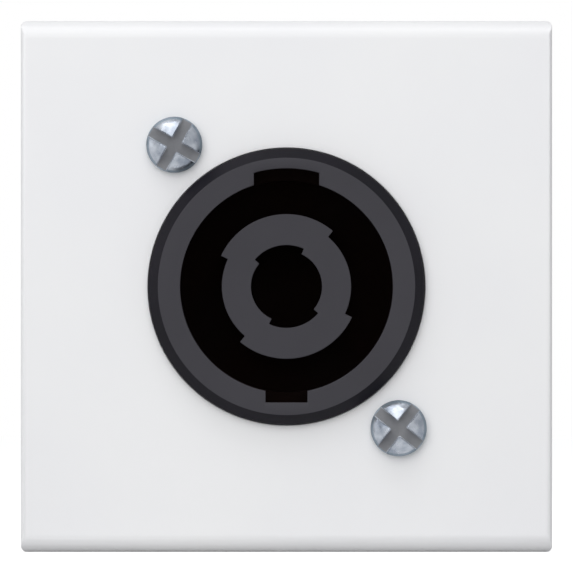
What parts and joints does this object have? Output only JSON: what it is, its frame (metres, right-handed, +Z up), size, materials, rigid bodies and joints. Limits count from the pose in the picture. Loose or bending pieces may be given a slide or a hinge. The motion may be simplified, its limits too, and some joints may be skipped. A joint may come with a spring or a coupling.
{
  "type": "speaker wall socket",
  "caption": "Square white wall module with a round dark twist-lock speaker socket, diagonal pan head screws, snap clips in its skirt and screw terminals at the rear.",
  "frame": {"origin": "on the plug's axis, in the plane of the socket's front rim", "axes": "the plug comes in along +Y, so the front faces -Y; +X is right and +Z is up as seen from the room"},
  "size_m": [0.045, 0.0308, 0.045],
  "materials": {
    "white_plastic": "smooth, half gloss",
    "housing_plastic": "fine moulded grain",
    "carrier_plastic": "fine moulded grain",
    "contact_metal": "silver-plated, stamped",
    "cage_brass": "bright, drawn",
    "screw_steel": "zinc-plated",
    "washer_steel": "zinc-plated",
    "nut_steel": "zinc-plated"
  },
  "bodies": {
    "root": {"front_plate": "white_plastic", "connector_housing": "housing_plastic", "contact_carrier": "carrier_plastic", "contact_1_plus": "contact_metal", "contact_1_minus": "contact_metal", "contact_2_plus": "contact_metal", "contact_2_minus": "contact_metal", "terminal_cage_1_plus": "cage_brass", "terminal_cage_1_minus": "cage_brass", "terminal_cage_2_plus": "cage_brass", "terminal_cage_2_minus": "cage_brass", "clamp_screw_1_plus": "screw_steel", "clamp_screw_1_minus": "screw_steel", "clamp_screw_2_plus": "screw_steel", "clamp_screw_2_minus": "screw_steel", "fixing_screw_upper": "screw_steel", "fixing_screw_lower": "screw_steel", "lock_washer_upper": "washer_steel", "lock_washer_lower": "washer_steel", "nut_upper": "nut_steel", "nut_lower": "nut_steel"}
  },
  "joints": []
}
